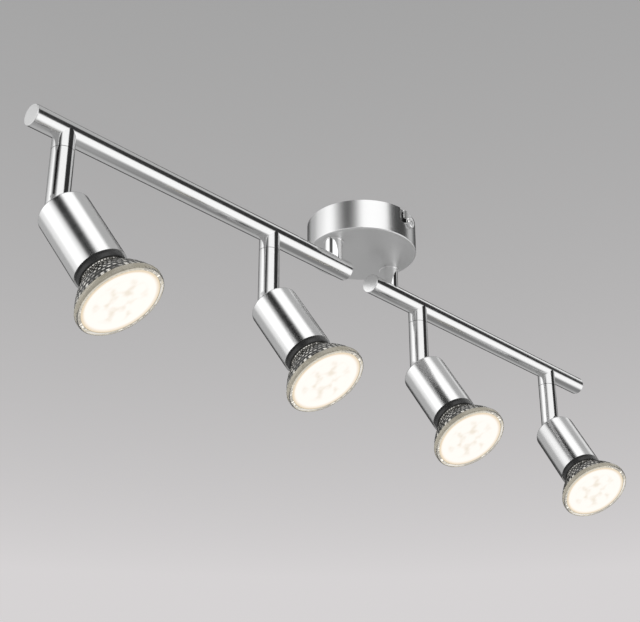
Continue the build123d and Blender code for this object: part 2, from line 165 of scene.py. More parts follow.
def turnedCoordsGroup():
    # radius, height and a slow turn, so that a grain made from it runs round the axis
    group, start, end = newGroup("turnedCoords", [("Vector", "NodeSocketVector", None)],
                                 [("Vector", "NodeSocketVector")])
    split = addNode(group, "ShaderNodeSeparateXYZ")
    chain(group, (start, "Vector", split, "Vector"))
    across = math2(group, "MULTIPLY", (split, "X"), (split, "X"))
    deep = math2(group, "MULTIPLY", (split, "Y"), (split, "Y"))
    square = math2(group, "ADD", (across, 0), (deep, 0))
    radius = math2(group, "SQRT", (square, 0), 0.0)
    angle = math2(group, "ARCTAN2", (split, "Y"), (split, "X"))
    slow = math2(group, "MULTIPLY", (angle, 0), drawnLines["slowTurn"])
    join = addNode(group, "ShaderNodeCombineXYZ")
    chain(group, (radius, 0, join, "X"), (split, "Z", join, "Y"), (slow, 0, join, "Z"),
          (join, "Vector", end, "Vector"))
    return group


def drawnGrainGroup():
    # fine lines that run along the third axis of the coordinates it is given
    d = drawnLines
    group, start, end = newGroup("drawnGrain", [
        ("Vector", "NodeSocketVector", None), ("Lines", "NodeSocketFloat", 900.0),
        ("Dark Tone", "NodeSocketColor", (0.6, 0.6, 0.6, 1)),
        ("Light Tone", "NodeSocketColor", (0.7, 0.7, 0.7, 1)),
        ("Smooth", "NodeSocketFloat", 0.15), ("Rough", "NodeSocketFloat", 0.25),
    ], [("Tone", "NodeSocketColor"), ("Roughness", "NodeSocketFloat"), ("Height", "NodeSocketFloat")])
    stretch = addNode(group, "ShaderNodeVectorMath", operation="MULTIPLY")
    stretch.inputs[1].default_value = (1.0, 1.0, d["stretch"])
    lines = addNode(group, "ShaderNodeTexNoise", {"Detail": d["detail"], "Roughness": d["breakUp"]})
    patches = addNode(group, "ShaderNodeTexNoise", {"Scale": d["patchScale"], "Detail": d["patchDetail"]})
    tone = addNode(group, "ShaderNodeMix", data_type="RGBA")
    shift = math2(group, "MULTIPLY", (patches, "Fac"), d["patchShare"])
    blend = math2(group, "MULTIPLY_ADD", (lines, "Fac"), 1 - d["patchShare"])
    chain(group, (shift, 0, blend, 2))
    finish = addNode(group, "ShaderNodeMapRange", {"From Min": d["finishFrom"], "From Max": d["finishTo"]})
    chain(group, (start, "Vector", stretch, 0), (stretch, 0, lines, "Vector"),
          (start, "Lines", lines, "Scale"), (start, "Vector", patches, "Vector"),
          (blend, 0, tone, "Factor"), (start, "Dark Tone", tone, 6), (start, "Light Tone", tone, 7),
          (blend, 0, finish, "Value"), (start, "Smooth", finish, "To Min"),
          (start, "Rough", finish, "To Max"), (tone, 2, end, "Tone"), (finish, 0, end, "Roughness"),
          (lines, "Fac", end, "Height"))
    return group


mouldedFinish = dict(grainDetail=2.0, cloudScale=120.0, cloudDetail=3.0, finishFrom=0.35, finishTo=0.65)


def mouldedSkinGroup():
    # fine even texture of a moulded, fired or cast surface with soft cloudy tone
    m = mouldedFinish
    group, start, end = newGroup("mouldedSkin", [
        ("Vector", "NodeSocketVector", None), ("Grain", "NodeSocketFloat", 1500.0),
        ("Dark Tone", "NodeSocketColor", (0.5, 0.5, 0.5, 1)),
        ("Light Tone", "NodeSocketColor", (0.6, 0.6, 0.6, 1)),
        ("Smooth", "NodeSocketFloat", 0.4), ("Rough", "NodeSocketFloat", 0.55),
    ], [("Tone", "NodeSocketColor"), ("Roughness", "NodeSocketFloat"), ("Height", "NodeSocketFloat")])
    grain = addNode(group, "ShaderNodeTexNoise", {"Detail": m["grainDetail"]})
    clouds = addNode(group, "ShaderNodeTexNoise", {"Scale": m["cloudScale"], "Detail": m["cloudDetail"]})
    tone = addNode(group, "ShaderNodeMix", data_type="RGBA")
    finish = addNode(group, "ShaderNodeMapRange", {"From Min": m["finishFrom"], "From Max": m["finishTo"]})
    chain(group, (start, "Vector", grain, "Vector"), (start, "Grain", grain, "Scale"),
          (start, "Vector", clouds, "Vector"), (clouds, "Fac", tone, "Factor"),
          (start, "Dark Tone", tone, 6), (start, "Light Tone", tone, 7), (grain, "Fac", finish, "Value"),
          (start, "Smooth", finish, "To Min"), (start, "Rough", finish, "To Max"),
          (tone, 2, end, "Tone"), (finish, 0, end, "Roughness"), (grain, "Fac", end, "Height"))
    return group


ledPattern = dict(sources=6, merge=0.005, innerEdge=0.88, smudgeStart=0.0026, blotchScale=160.0,
                  blotchDetail=1.0, blotchFrom=0.40, blotchTo=0.64)


def ledGlowGroup():
    # a ring of light sources and one in the middle behind a frosted cover, with faint smudges between them
    p = ledPattern
    group, start, end = newGroup("ledGlow", [
        ("Vector", "NodeSocketVector", None), ("Ring", "NodeSocketFloat", 0.012),
        ("Spot", "NodeSocketFloat", 0.005), ("Edge", "NodeSocketFloat", 0.0209),
        ("Spot Tone", "NodeSocketColor", (1, 1, 1, 1)), ("Smudge Tone", "NodeSocketColor", (1, 0.9, 0.8, 1)),
        ("Edge Tone", "NodeSocketColor", (1, 0.8, 0.6, 1)),
    ], [("Glow", "NodeSocketColor")])
    split = addNode(group, "ShaderNodeSeparateXYZ")
    flat = addNode(group, "ShaderNodeCombineXYZ")
    length = addNode(group, "ShaderNodeVectorMath", operation="LENGTH")
    chain(group, (start, "Vector", split, "Vector"), (split, "X", flat, "X"), (split, "Y", flat, "Y"),
          (flat, 0, length, 0))
    nearest = length
    output = "Value"
    for index in range(p["sources"]):
        turn = index * math.tau / p["sources"]
        aim = addNode(group, "ShaderNodeVectorMath", operation="SCALE")
        aim.inputs[0].default_value = (math.cos(turn), math.sin(turn), 0)
        reach = addNode(group, "ShaderNodeVectorMath", operation="DISTANCE")
        chain(group, (start, "Ring", aim, "Scale"), (aim, 0, reach, 0), (flat, 0, reach, 1))
        nearest = math2(group, "SMOOTH_MIN", (nearest, output), (reach, "Value"))
        nearest.inputs[2].default_value = p["merge"]
        output = 0
    inner = math2(group, "MULTIPLY", (start, "Edge"), p["innerEdge"])
    gap = math2(group, "SUBTRACT", (inner, 0), (length, "Value"))
    nearest = math2(group, "SMOOTH_MIN", (nearest, 0), (gap, 0))
    nearest.inputs[2].default_value = p["merge"]
    dim = addNode(group, "ShaderNodeMapRange", {"From Min": p["smudgeStart"]},
                  interpolation_type="SMOOTHSTEP")
    rim = addNode(group, "ShaderNodeMapRange", interpolation_type="SMOOTHSTEP")
    blotch = addNode(group, "ShaderNodeTexNoise", {"Scale": p["blotchScale"], "Detail": p["blotchDetail"]})
    chance = addNode(group, "ShaderNodeMapRange", {"From Min": p["blotchFrom"], "From Max": p["blotchTo"]})
    smudge = math2(group, "MULTIPLY", (dim, 0), (chance, 0))
    field = addNode(group, "ShaderNodeMix", data_type="RGBA")
    glow = addNode(group, "ShaderNodeMix", data_type="RGBA")
    chain(group, (nearest, 0, dim, "Value"), (start, "Spot", dim, "From Max"),
          (length, "Value", rim, "Value"), (inner, 0, rim, "From Min"), (start, "Edge", rim, "From Max"),
          (flat, 0, blotch, "Vector"), (blotch, "Fac", chance, "Value"), (smudge, 0, field, "Factor"),
          (start, "Spot Tone", field, 6), (start, "Smudge Tone", field, 7), (rim, 0, glow, "Factor"),
          (field, 2, glow, 6), (start, "Edge Tone", glow, 7), (glow, 2, end, "Glow"))
    return group


# painted highlights and painted shade lines for the cells of the reflector coat
paintedCellLight = dict(lineEnds=0.05, cellStarts=0.50, dullest=0.10, brightest=1.3)


def cellHighlightShadeGroup():
    # painted highlight in the middle of each cell and painted shade lines between them, in rows that are
    # turned by half a cell;
    # every cell has its own painted brightness, and past the last row the tone is plain
    p = paintedCellLight
    group, start, end = newGroup("cellHighlightShade", [
        ("Vector", "NodeSocketVector", None), ("Around", "NodeSocketFloat", 32.0),
        ("Start", "NodeSocketFloat", 0.05), ("Pitch", "NodeSocketFloat", 0.002),
        ("Rows", "NodeSocketFloat", 5.0),
        ("Shade Line Tone", "NodeSocketColor", (0.05, 0.05, 0.05, 1)),
        ("Highlight Tone", "NodeSocketColor", (0.9, 0.9, 0.9, 1)),
        ("Plain Tone", "NodeSocketColor", (0.4, 0.4, 0.4, 1)),
    ], [("Tone", "NodeSocketColor")])
    split = addNode(group, "ShaderNodeSeparateXYZ")
    chain(group, (start, "Vector", split, "Vector"))
    depth = math2(group, "MULTIPLY", (split, "Z"), -1.0)
    along = math2(group, "SUBTRACT", (depth, 0), (start, "Start"))
    row = math2(group, "DIVIDE", (along, 0), (start, "Pitch"))
    whole = math2(group, "FLOOR", (row, 0), 0.0)
    odd = math2(group, "FLOORED_MODULO", (whole, 0), 2.0)
    shift = math2(group, "MULTIPLY", (odd, 0), math.pi / 2)
    angle = math2(group, "ARCTAN2", (split, "Y"), (split, "X"))
    half = math2(group, "MULTIPLY", (start, "Around"), 0.5)
    turn = math2(group, "MULTIPLY_ADD", (angle, 0), (half, 0))
    chain(group, (shift, 0, turn, 2))
    rise = math2(group, "MULTIPLY", (row, 0), math.pi)
    waves = []
    for source in (turn, rise):
        wave = math2(group, "SINE", (source, 0), 0.0)
        waves.append(math2(group, "MULTIPLY", (wave, 0), (wave, 0)))
    hump = math2(group, "MULTIPLY", (waves[0], 0), (waves[1], 0))
    cell = addNode(group, "ShaderNodeMapRange", {"From Min": p["lineEnds"], "From Max": p["cellStarts"]},
                   interpolation_type="SMOOTHSTEP")
    step = math2(group, "DIVIDE", (turn, 0), math.pi)
    column = math2(group, "FLOOR", (step, 0), 0.0)
    place = addNode(group, "ShaderNodeCombineXYZ")
    chance = addNode(group, "ShaderNodeTexWhiteNoise")
    spark = addNode(group, "ShaderNodeMapRange", {"To Min": p["dullest"], "To Max": p["brightest"]})
    shine = math2(group, "MULTIPLY", (cell, 0), (spark, 0))
    past = math2(group, "GREATER_THAN", (row, 0), (start, "Rows"))
    tone = addNode(group, "ShaderNodeMix", data_type="RGBA")
    plain = addNode(group, "ShaderNodeMix", data_type="RGBA")
    chain(group, (whole, 0, place, "X"), (column, 0, place, "Y"), (place, 0, chance, "Vector"),
          (chance, "Value", spark, "Value"))
    chain(group, (hump, 0, cell, "Value"), (shine, 0, tone, "Factor"), (start, "Shade Line Tone", tone, 6),
          (start, "Highlight Tone", tone, 7), (past, 0, plain, "Factor"), (tone, 2, plain, 6),
          (start, "Plain Tone", plain, 7), (plain, 2, end, "Tone"))
    return group


turnedCoords = turnedCoordsGroup()
drawnGrain = drawnGrainGroup()
mouldedSkin = mouldedSkinGroup()
ledGlow = ledGlowGroup()
cellHighlightShade = cellHighlightShadeGroup()
print("surface groups built")


# Lamp glass, in metres from the pivot along the head axis: plain neck, flare with rows of dimples, plain rim
lampGlass = dict(neckBack=0.0460, neckRadius=0.0123, neckBlend=0.0008, flareStart=0.0574, flareLength=0.0162,
                 bell=0.45, wall=0.0014, innerInset=1.5, lipShare=1 / 3, rimHeight=0.0034, rimRadius=0.0250,
                 rimEdge=0.00085, rimTurns=(0, 30, 60, 90), coverRadius=0.02235, coverEdge=0.0002,
                 coverDepth=0.0014, ledge=0.0209, dimples=42, dimpleRows=6, dimpled=0.96, dimpleDepth=0.0004,
                 stepsPerDimple=5, stepsPerRow=5, plainSteps=2)
rimBack = lampGlass["flareStart"] + lampGlass["flareLength"]
lampFront = rimBack + lampGlass["rimHeight"]
coverSeat = lampFront - lampGlass["coverDepth"]


# Materials
def grey(value, warmth=0.0):
    return (value * (1 + warmth), value, value * (1 - warmth), 1.0)


def startMaterial(name, local=upright):
    # a material with coordinates in the given frame
    material = bpy.data.materials.new(name)
    material.use_nodes = True
    tree = material.node_tree
    shader = tree.nodes["Principled BSDF"]
    place = addNode(tree, "ShaderNodeTexCoord")
    coords = addNode(tree, "ShaderNodeMapping", vector_type="TEXTURE")
    coords.inputs["Location"].default_value = local.to_translation()
    coords.inputs["Rotation"].default_value = local.to_euler()
    chain(tree, (place, "Object", coords, "Vector"))
    return material, tree, shader, coords


def addSkin(tree, shader, coords, group, look):
    # a grain group into colour, roughness and bump
    skin = addNode(tree, "ShaderNodeGroup", node_tree=group)
    for label in ("Dark Tone", "Light Tone", "Smooth", "Rough"):
        skin.inputs[label].default_value = look[label]
    skin.inputs[1].default_value = look["fine"]
    bump = addNode(tree, "ShaderNodeBump", {"Strength": look["bump"], "Distance": look["depth"]})
    chain(tree, (coords, 0, skin, "Vector"), (skin, "Tone", shader, "Base Color"),
          (skin, "Roughness", shader, "Roughness"), (skin, "Height", bump, "Height"),
          (bump, "Normal", shader, "Normal"))
    return skin


satinNickel = {"Dark Tone": grey(0.72), "Light Tone": grey(0.82), "Smooth": 0.17, "Rough": 0.24,
               "fine": 2600.0, "bump": 0.06, "depth": 0.0002}
canopyNickel = {"Dark Tone": grey(0.74), "Light Tone": grey(0.78), "Smooth": 0.25, "Rough": 0.27,
                "fine": 3600.0, "bump": 0.008, "depth": 0.0002, "floor": -0.0214, "floorRough": 0.46}
barNickel = {"Dark Tone": grey(0.74), "Light Tone": grey(0.84), "Smooth": 0.12, "Rough": 0.19,
             "fine": 2600.0, "bump": 0.05, "depth": 0.0002}
postNickel = {"Dark Tone": grey(0.62), "Light Tone": grey(0.72), "Smooth": 0.10, "Rough": 0.16,
              "fine": 2600.0, "bump": 0.04, "depth": 0.0002}
polishedChrome = {"Dark Tone": grey(0.84), "Light Tone": grey(0.90), "Smooth": 0.04, "Rough": 0.08,
                  "fine": 1800.0, "bump": 0.015, "depth": 0.0001}
zincSteel = {"Dark Tone": grey(0.46), "Light Tone": grey(0.66), "Smooth": 0.25, "Rough": 0.45,
             "fine": 700.0, "bump": 0.08, "depth": 0.0002}
turnedBrass = {"Dark Tone": (0.62, 0.44, 0.17, 1), "Light Tone": (0.80, 0.60, 0.28, 1),
               "Smooth": 0.18, "Rough": 0.32, "fine": 2200.0, "bump": 0.08, "depth": 0.0002}


def metal(name, look, local=upright, turned=True):
    material, tree, shader, coords = startMaterial(name, local)
    shader.inputs["Metallic"].default_value = 1.0
    if turned:
        around = addNode(tree, "ShaderNodeGroup", node_tree=turnedCoords)
        chain(tree, (coords, 0, around, "Vector"))
        coords = around
    skin = addSkin(tree, shader, coords, drawnGrain, look)
    if "floor" in look:
        duller(tree, shader, skin, look)
    return material


def duller(tree, shader, skin, look):
    # a flat floor with a duller finish than the wall above it
    spot = addNode(tree, "ShaderNodeTexCoord")
    split = addNode(tree, "ShaderNodeSeparateXYZ")
    below = math2(tree, "LESS_THAN", (split, "Z"), look["floor"])
    blend = addNode(tree, "ShaderNodeMix", {3: look["floorRough"]})
    chain(tree, (spot, "Object", split, "Vector"), (below, 0, blend, 0), (skin, "Roughness", blend, 2),
          (blend, 0, shader, "Roughness"))


blackRing = {"Dark Tone": grey(0.010), "Light Tone": grey(0.022), "Smooth": 0.32, "Rough": 0.46,
             "fine": 2400.0, "bump": 0.10, "depth": 0.0003}
whitePlastic = {"Dark Tone": grey(0.74, 0.01), "Light Tone": grey(0.82, 0.01), "Smooth": 0.35, "Rough": 0.5,
                "fine": 1800.0, "bump": 0.08, "depth": 0.0003}
naturalNylon = {"Dark Tone": (0.70, 0.68, 0.60, 1), "Light Tone": (0.80, 0.78, 0.70, 1),
                "Smooth": 0.38, "Rough": 0.5, "fine": 1500.0, "bump": 0.08, "depth": 0.0003}
firedCeramic = {"Dark Tone": (0.76, 0.74, 0.69, 1), "Light Tone": (0.86, 0.84, 0.80, 1),
                "Smooth": 0.42, "Rough": 0.62, "fine": 1300.0, "bump": 0.14, "depth": 0.0004}
leadSheath = {"Dark Tone": (0.62, 0.58, 0.50, 1), "Light Tone": (0.74, 0.70, 0.62, 1),
              "Smooth": 0.45, "Rough": 0.6, "fine": 1100.0, "bump": 0.15, "depth": 0.0004}
boardLacquer = {"Dark Tone": (0.80, 0.79, 0.76, 1), "Light Tone": (0.88, 0.87, 0.84, 1),
                "Smooth": 0.3, "Rough": 0.42, "fine": 1700.0, "bump": 0.06, "depth": 0.0002}


def moulded(name, look):
    material, tree, shader, coords = startMaterial(name)
    addSkin(tree, shader, coords, mouldedSkin, look)
    return material


pressedGlass = {"Dark Tone": (0.95, 0.95, 0.93, 1), "Light Tone": (1.0, 1.0, 0.99, 1),
                "Smooth": 0.0, "Rough": 0.06, "fine": 500.0, "bump": 0.05, "depth": 0.0003}
# line and cell tones are painted shade lines and painted highlights; past the last row the coat takes a
# darker plain tone; glow turns all of them into a painted glow
reflectorCoat = {"Dark Tone": (0.66, 0.64, 0.60, 1), "Light Tone": (0.97, 0.95, 0.91, 1),
                 "Smooth": 0.05, "Rough": 0.14, "fine": 420.0, "bump": 0.10, "depth": 0.0003,
                 "shadeLineTone": (0.03, 0.03, 0.028, 1), "highlightTone": (0.92, 0.90, 0.85, 1),
                 "plainTone": (0.36, 0.335, 0.275, 1), "glow": 0.55}
# painted glow: emission in the rim glass stands in for light from the lit cover spilling into it
rimGlow = dict(tone=(1.0, 0.93, 0.80, 1), strength=0.34)
litCover = {"Dark Tone": (0.035, 0.033, 0.029, 1), "Light Tone": (0.06, 0.057, 0.05, 1),
            "Smooth": 0.18, "Rough": 0.32, "fine": 900.0, "bump": 0.12, "depth": 0.0003,
            "ring": 0.0118, "spot": 0.0060, "edge": 0.0223, "glow": 1.0,
            "spotTone": (0.985, 0.945, 0.895, 1), "smudgeTone": (0.83, 0.755, 0.65, 1),
            "edgeTone": (0.78, 0.64, 0.46, 1)}


def clearGlass(name, glow=None):
    material, tree, shader, coords = startMaterial(name)
    shader.inputs["Transmission Weight"].default_value = 1.0
    shader.inputs["IOR"].default_value = 1.5
    addSkin(tree, shader, coords, mouldedSkin, pressedGlass)
    if glow:
        shader.inputs["Emission Color"].default_value = glow["tone"]
        shader.inputs["Emission Strength"].default_value = glow["strength"]
    return material


def innerCoat():
    # bright metal behind the glass with a painted glow from emission in its own tones, painted highlights in
    # the middle of each cell and painted shade lines between them
    material, tree, shader, coords = startMaterial("reflectorCoat")
    shader.inputs["Metallic"].default_value = 1.0
    addSkin(tree, shader, coords, mouldedSkin, reflectorCoat)
    cells = addNode(tree, "ShaderNodeGroup", node_tree=cellHighlightShade)
    g = lampGlass
    cells.inputs["Around"].default_value = g["dimples"]
    cells.inputs["Start"].default_value = g["flareStart"]
    cells.inputs["Pitch"].default_value = g["flareLength"] * g["dimpled"] / g["dimpleRows"]
    cells.inputs["Rows"].default_value = g["dimpleRows"]
    cells.inputs["Shade Line Tone"].default_value = reflectorCoat["shadeLineTone"]
    cells.inputs["Highlight Tone"].default_value = reflectorCoat["highlightTone"]
    cells.inputs["Plain Tone"].default_value = reflectorCoat["plainTone"]
    # the cell tones drive both colour and emission: painted highlights, painted shade lines and a painted
    # glow
    chain(tree, (coords, 0, cells, "Vector"), (cells, "Tone", shader, "Base Color"),
          (cells, "Tone", shader, "Emission Color"))
    shader.inputs["Emission Strength"].default_value = reflectorCoat["glow"]
    return material


def litFace():
    material, tree, shader, coords = startMaterial("litCover")
    addSkin(tree, shader, coords, mouldedSkin, litCover)
    glow = addNode(tree, "ShaderNodeGroup", node_tree=ledGlow)
    for label, key in (("Ring", "ring"), ("Spot", "spot"), ("Edge", "edge"), ("Spot Tone", "spotTone"),
                       ("Smudge Tone", "smudgeTone"), ("Edge Tone", "edgeTone")):
        glow.inputs[label].default_value = litCover[key]
    chain(tree, (coords, 0, glow, "Vector"), (glow, "Glow", shader, "Emission Color"))
    shader.inputs["Emission Strength"].default_value = litCover["glow"]
    return material


chromeSkin = metal("polishedChrome", polishedChrome)
collarSkin = metal("collarNickel", postNickel, turned=False)
zincSkin = metal("zincSteel", zincSteel, turned=False)
brassSkin = metal("turnedBrass", turnedBrass)
canopySkin = metal("canopyNickel", canopyNickel)
nylonSkin = moulded("naturalNylon", naturalNylon)
plasticSkin = moulded("whitePlastic", whitePlastic)
ceramicSkin = moulded("firedCeramic", firedCeramic)
sheathSkin = moulded("leadSheath", leadSheath)
boardSkin = moulded("boardLacquer", boardLacquer)
ringSkin = moulded("blackRing", blackRing)
glassSkin = clearGlass("pressedGlass")
rimSkin = clearGlass("litRim", rimGlow)
coatSkin = innerCoat()
coverSkin = litFace()
print("materials built:", len(bpy.data.materials))


# Finishes on the pieces that come from the CAD
def dress(node, material):
    mesh = nodes[node].data
    mesh.materials.clear()
    mesh.materials.append(material)


def dressBase():
    dress("canopy_cup", canopySkin)
    dress("mounting_strap", zincSkin)
    dress("canopy_screws", chromeSkin)
    dress("terminal_block", plasticSkin)
    dress("terminal_screws", zincSkin)
    dress("canopy_leads", sheathSkin)


def dressArm(name):
    local = barFrame(f"{name}_bar")
    dress(f"{name}_stud", chromeSkin)
    dress(f"{name}_stud_washer", nylonSkin)
    dress(f"{name}_stud_nut", brassSkin)
    dress(f"{name}_bar", metal(f"{name}BarNickel", barNickel, local, turned=False))
    dress(f"{name}_bar_caps", metal(f"{name}CapNickel", satinNickel, local))
    dress(f"{name}_collars", collarSkin)
    dress(f"{name}_lead", sheathSkin)


def dressHead(number):
    local = headFrames[number]
    swivel = joints[f"post_{number}_swivel"]
    post = axisFrame(swivel["pos_m"], swivel["axis"])
    dress(f"post_{number}", metal(f"postNickel{number}", postNickel, post))
    dress(f"pivot_pin_{number}", zincSkin)
    dress(f"hinge_lug_{number}", zincSkin)
    dress(f"sleeve_{number}", metal(f"sleeveNickel{number}", satinNickel, local))
    dress(f"lampholder_{number}", ceramicSkin)
    dress(f"holder_ring_{number}", ringSkin)
    dress(f"bulb_base_{number}", ceramicSkin)
    dress(f"led_board_{number}", boardSkin)


dressBase()
for arm in ("left", "right"):
    dressArm(arm)
for number in headFrames:
    dressHead(number)
print("frame dressed")


# Meshes turned about the head axis: rings of points joined into one closed skin
def skinFromRings(name, rings):
    form = bmesh.new()
    rows = [[form.verts.new(point) for point in ring] for ring in rings]
    for before, after in zip(rows, rows[1:] + rows[:1]):
        for index in range(len(before)):
            following = (index + 1) % len(before)
            form.faces.new((before[index], before[following], after[following], after[index]))
    bmesh.ops.recalc_face_normals(form, faces=form.faces)
    mesh = bpy.data.meshes.new(name)
    form.to_mesh(mesh)
    form.free()
    mesh.shade_smooth()
    piece = bpy.data.objects.new(name, mesh)
    scene.collection.objects.link(piece)
    return piece


def ringAt(radius, depth, count):
    # radius may be a number or a function of the angle
    points = []
    for index in range(count):
        turn = index * math.tau / count
        reach = radius(turn) if callable(radius) else radius
        points.append((reach * math.cos(turn), reach * math.sin(turn), -depth))
    return points


def flareRadius(share):
    rim = lampGlass["rimRadius"] - lampGlass["wall"] * lampGlass["lipShare"]
    neck = lampGlass["neckRadius"]
    bell = lampGlass["bell"]
    return neck + (rim - neck) * ((1 + bell) * share - bell * share * share)


def dimpledRadius(share, lift=0.0):
    # rows of round hollows, each row turned by half a step
    row = share / lampGlass["dimpled"] * lampGlass["dimpleRows"]
    across = math.sin(math.pi * row) ** 2 if row < lampGlass["dimpleRows"] else 0.0
    offset = 0.5 * (int(row) % 2)

    def radius(turn):
        around = math.sin(turn * lampGlass["dimples"] / 2 + math.pi * offset) ** 2
        return flareRadius(share) - lift - lampGlass["dimpleDepth"] * across * around
    return radius


def flareShares():
    g = lampGlass
    fine = g["dimpleRows"] * g["stepsPerRow"]
    shares = [g["dimpled"] * step / fine for step in range(1, fine + 1)]
    plain = (1 - g["dimpled"]) / g["plainSteps"]
    return shares + [g["dimpled"] + plain * step for step in range(1, g["plainSteps"])]


def roundedRim(count):
    g = lampGlass
    corner = g["rimEdge"]
    rings = []
    for turn in g["rimTurns"]:
        lift = math.radians(turn)
        rings.append(ringAt(g["rimRadius"] - corner * (1 - math.sin(lift)),
                            rimBack + corner * (1 - math.cos(lift)), count))
    for turn in g["rimTurns"]:
        lift = math.radians(turn)
        rings.append(ringAt(g["rimRadius"] - corner * (1 - math.cos(lift)),
                            lampFront - corner * (1 - math.sin(lift)), count))
    return rings


def addLampGlass(number):
    g = lampGlass
    count = g["dimples"] * g["stepsPerDimple"]
    length = g["flareLength"]
    inset = g["wall"] * g["innerInset"]
    rings = [ringAt(g["neckRadius"], g["neckBack"], count),
             ringAt(g["neckRadius"], g["flareStart"] - g["neckBlend"], count)]
    for share in flareShares():
        rings.append(ringAt(dimpledRadius(share), g["flareStart"] + share * length, count))
    rings += roundedRim(count)
    rimFace = len(rings) - 1
    rings.append(ringAt(g["coverRadius"] + g["coverEdge"], lampFront, count))
    rings.append(ringAt(g["coverRadius"], lampFront - g["coverEdge"], count))
    rings.append(ringAt(g["coverRadius"], coverSeat, count))
    rings.append(ringAt(g["ledge"], coverSeat, count))
    for share in reversed(flareShares()):
        rings.append(ringAt(dimpledRadius(share, inset), g["flareStart"] + share * length, count))
    rings.append(ringAt(g["neckRadius"] - g["wall"], g["flareStart"], count))
    rings.append(ringAt(g["neckRadius"] - g["wall"], g["neckBack"], count))
    piece = skinFromRings(f"lampGlass_{number}", rings)
    for skin in (glassSkin, rimSkin, coatSkin):
        piece.data.materials.append(skin)
    starts = (rimFace, rimFace + 1, len(rings) - 1)
    for face in piece.data.polygons:
        face.material_index = sum(face.index // count >= start for start in starts) % len(starts)
    return piece


# Lit front cover: frosted disc with a raised border and a faint dome
lampCover = dict(radius=0.0223, border=0.0209, recess=0.00035, dome=0.00022,
                 edge=0.00025, rows=10, count=96, middle=0.0004)


def addLampCover(number):
    c = lampCover
    floor = lampFront - c["recess"]
    rings = [ringAt(c["middle"], coverSeat, c["count"]),
             ringAt(c["radius"], coverSeat, c["count"]),
             ringAt(c["radius"], lampFront - c["edge"], c["count"]),
             ringAt(c["radius"] - c["edge"], lampFront, c["count"]),
             ringAt(c["border"] + c["edge"], lampFront, c["count"]),
             ringAt(c["border"], floor, c["count"])]
    for row in range(c["rows"], 0, -1):
        share = (row - 0.5) / c["rows"]
        rings.append(ringAt(c["border"] * share, floor + c["dome"] * (1 - share * share), c["count"]))
    rings.append(ringAt(c["middle"], floor + c["dome"], c["count"]))
    piece = skinFromRings(f"lampCover_{number}", rings)
    piece.data.materials.append(coverSkin)
    return piece


def placeInHead(piece, number, body, node):
    piece.matrix_world = headFrames[number]
    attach(piece, f"{body}_{number}")
    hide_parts(f"{node}_{number}")


for number in headFrames:
    placeInHead(addLampGlass(number), number, "lamp", "bulb_glass")
    placeInHead(addLampCover(number), number, "lamp", "bulb_lens")
print("lamp pieces built")


# Studio: pale ceiling and floor, and soft panels far away that give the metal its bright and dark bands
# the ceiling's near tone round its dark spot is painted shade, fading out to the far tone
stageSet = dict(ceilingSize=30.0, ceilingGap=0.0004, floorDrop=1.7, floorSize=90.0, floorTone=grey(0.94),
                ceilingShadeTone=grey(0.30), ceilingFar=(0.62, 0.60, 0.605, 1), nearEdge=0.45, farEdge=1.75,
                shadeSpot=(-0.58, -0.51, 0), airTone=grey(0.50), backdropTone=(0.62, 0.60, 0.605, 1),
                ceilingTone=grey(0.10), paintRough=0.9)
# heading from +X and rise from the horizon in degrees, as are the widths; roll turns a panel in its plane
studioPanels = [
    dict(name="behindFlag", heading=40, rise=24, roll=0, wide=72, tall=62, soft=0.15, tone=grey(0.05)),
    dict(name="leftBox", heading=160, rise=19, roll=0, wide=88, tall=44, soft=0.18, tone=grey(1.0)),
    dict(name="sleeveBox", heading=149, rise=20, roll=-28, wide=34, tall=26, soft=0.40, tone=grey(1.5)),
    dict(name="frontBox", heading=244, rise=24, roll=0, wide=82, tall=44, soft=0.10, tone=grey(1.35)),
    dict(name="topBox", heading=231, rise=64, roll=0, wide=36, tall=30, soft=0.30, tone=grey(1.45)),
    dict(name="farBox", heading=350, rise=42, roll=0, wide=22, tall=22, soft=0.40, tone=grey(0.95)),
    dict(name="lowBox", heading=311, rise=-20, roll=0, wide=50, tall=52, soft=0.45, tone=grey(1.2)),
    dict(name="lowShade", heading=5, rise=-46, roll=0, wide=50, tall=30, soft=0.50, tone=grey(0.24)),
    dict(name="rightFlag", heading=309, rise=27, roll=0, wide=46, tall=38, soft=0.14, tone=grey(0.035)),
    dict(name="sleeveFlag", heading=184, rise=43, roll=37, wide=56, tall=30, soft=0.48, tone=grey(0.0)),
]
keyLight = dict(heading=238, rise=-12, away=1.5, wide=1.2, tall=0.9, glow=0.5)


def panelMaskGroup():
    # 1 inside a flat panel seen from the middle of the room, 0 outside, with soft edges
    group, start, end = newGroup("panelMask", [
        ("Vector", "NodeSocketVector", None), ("Centre", "NodeSocketVector", None),
        ("Across", "NodeSocketVector", None), ("Upward", "NodeSocketVector", None),
        ("Soft", "NodeSocketFloat", 0.1)], [("Mask", "NodeSocketFloat")])
    reach = addNode(group, "ShaderNodeVectorMath", operation="DOT_PRODUCT")
    chain(group, (start, "Vector", reach, 0), (start, "Centre", reach, 1))
    ahead = math2(group, "GREATER_THAN", (reach, "Value"), 0.0)
    inside = math2(group, "SUBTRACT", 1.0, (start, "Soft"))
    outside = math2(group, "ADD", 1.0, (start, "Soft"))
    mask = ahead
    for label in ("Across", "Upward"):
        offset = addNode(group, "ShaderNodeVectorMath", operation="DOT_PRODUCT")
        chain(group, (start, "Vector", offset, 0), (start, label, offset, 1))
        slant = math2(group, "DIVIDE", (offset, "Value"), (reach, "Value"))
        size = math2(group, "ABSOLUTE", (slant, 0), 0.0)
        edge = addNode(group, "ShaderNodeMapRange", {"To Min": 1.0, "To Max": 0.0},
                       interpolation_type="SMOOTHSTEP")
        chain(group, (size, 0, edge, "Value"), (inside, 0, edge, "From Min"), (outside, 0, edge, "From Max"))
        mask = math2(group, "MULTIPLY", (mask, 0), (edge, 0))
    chain(group, (mask, 0, end, "Mask"))
    return group


